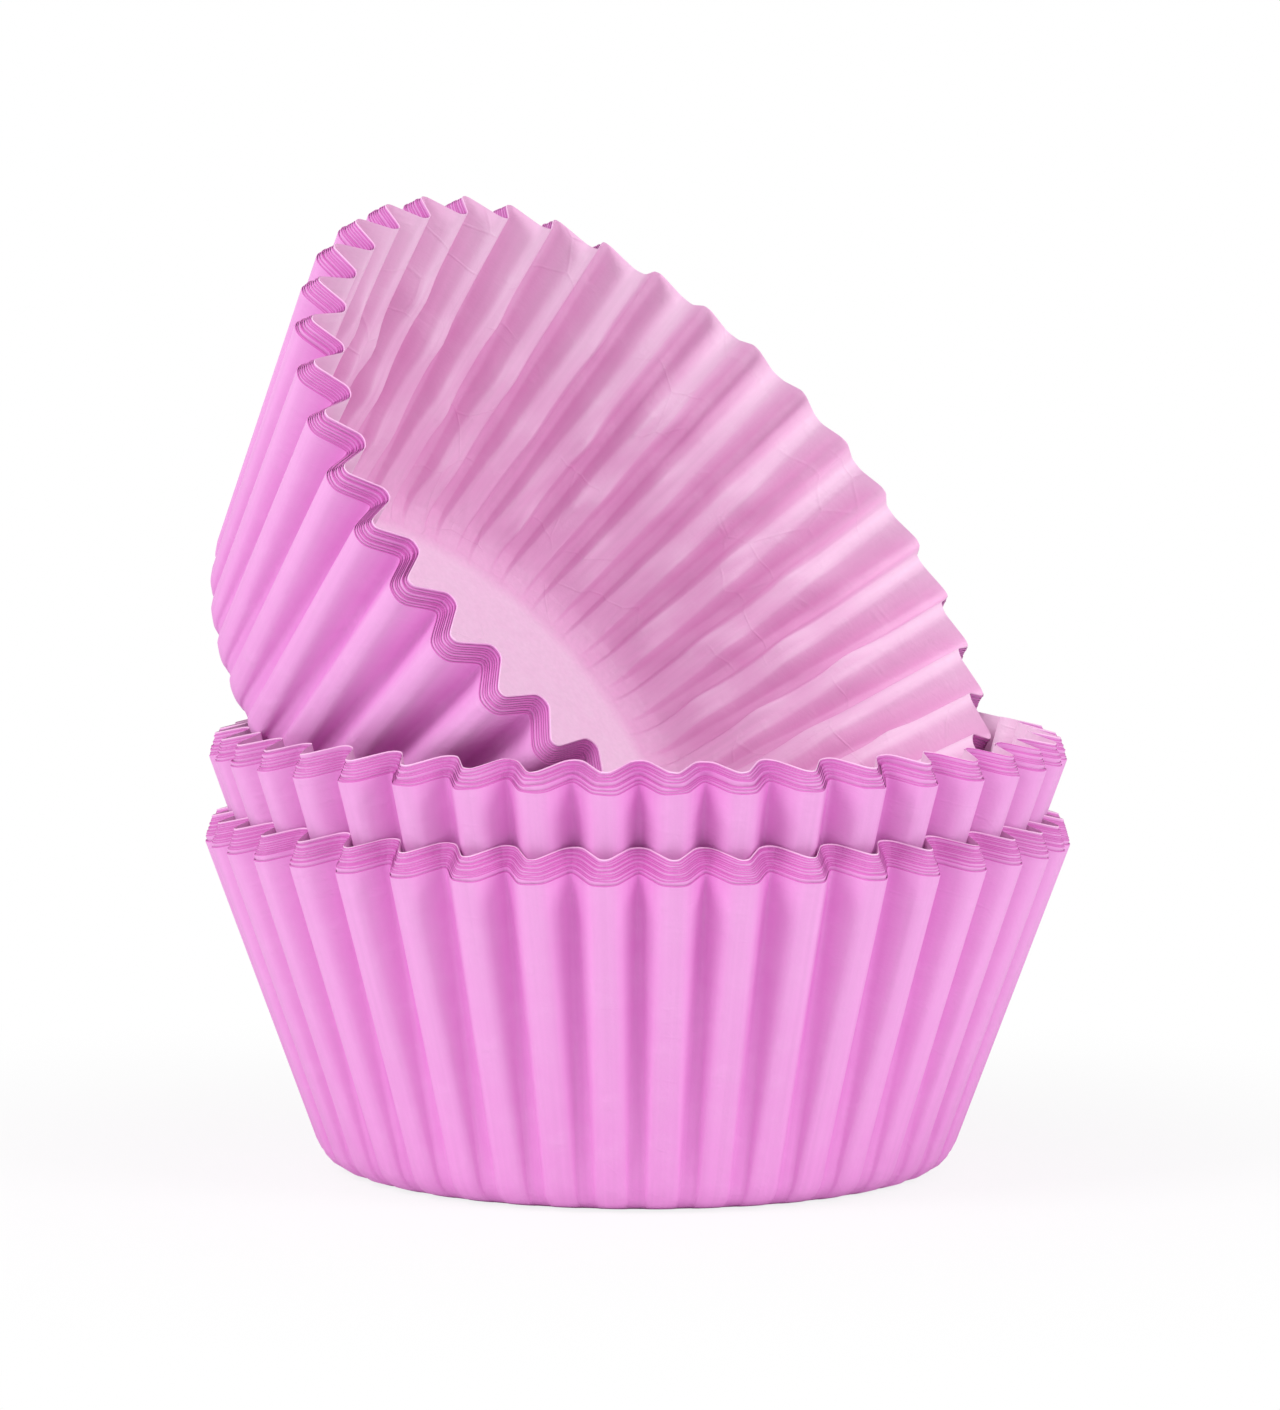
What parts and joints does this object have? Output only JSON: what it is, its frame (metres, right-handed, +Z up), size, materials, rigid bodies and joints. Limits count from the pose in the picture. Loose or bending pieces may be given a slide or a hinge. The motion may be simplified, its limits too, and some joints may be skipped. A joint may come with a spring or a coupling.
{
  "type": "stack of cupcake liners",
  "caption": "Pleated paper baking cups nested into bundles, the upper bundles pushed into the ones below and the topmost leaning over in the mouth beneath it.",
  "frame": {"origin": "centre of the lowest liner's floor, on the table", "axes": "+Z up, -Y towards the viewer of the picture, the leaning bundle tips towards +X and -Y"},
  "size_m": [0.0694, 0.0722, 0.0779],
  "materials": {
    "paper": "thin greaseproof paper, orchid pink through, matt with a faint waxy sheen, paler on the inside"
  },
  "bodies": {
    "root": {"bottom_liner_01": "paper", "bottom_liner_02": "paper", "bottom_liner_03": "paper", "bottom_liner_04": "paper", "bottom_liner_05": "paper", "bottom_liner_06": "paper", "bottom_liner_07": "paper", "bottom_liner_08": "paper", "bottom_liner_09": "paper", "bottom_liner_10": "paper", "bottom_liner_11": "paper", "bottom_liner_12": "paper", "middle_liner_01": "paper", "middle_liner_02": "paper", "middle_liner_03": "paper", "middle_liner_04": "paper", "middle_liner_05": "paper", "middle_liner_06": "paper", "middle_liner_07": "paper", "middle_liner_08": "paper", "middle_liner_09": "paper", "top_liner_01": "paper", "top_liner_02": "paper", "top_liner_03": "paper", "top_liner_04": "paper", "top_liner_05": "paper", "top_liner_06": "paper", "top_liner_07": "paper", "top_liner_08": "paper", "top_liner_09": "paper"}
  },
  "joints": []
}
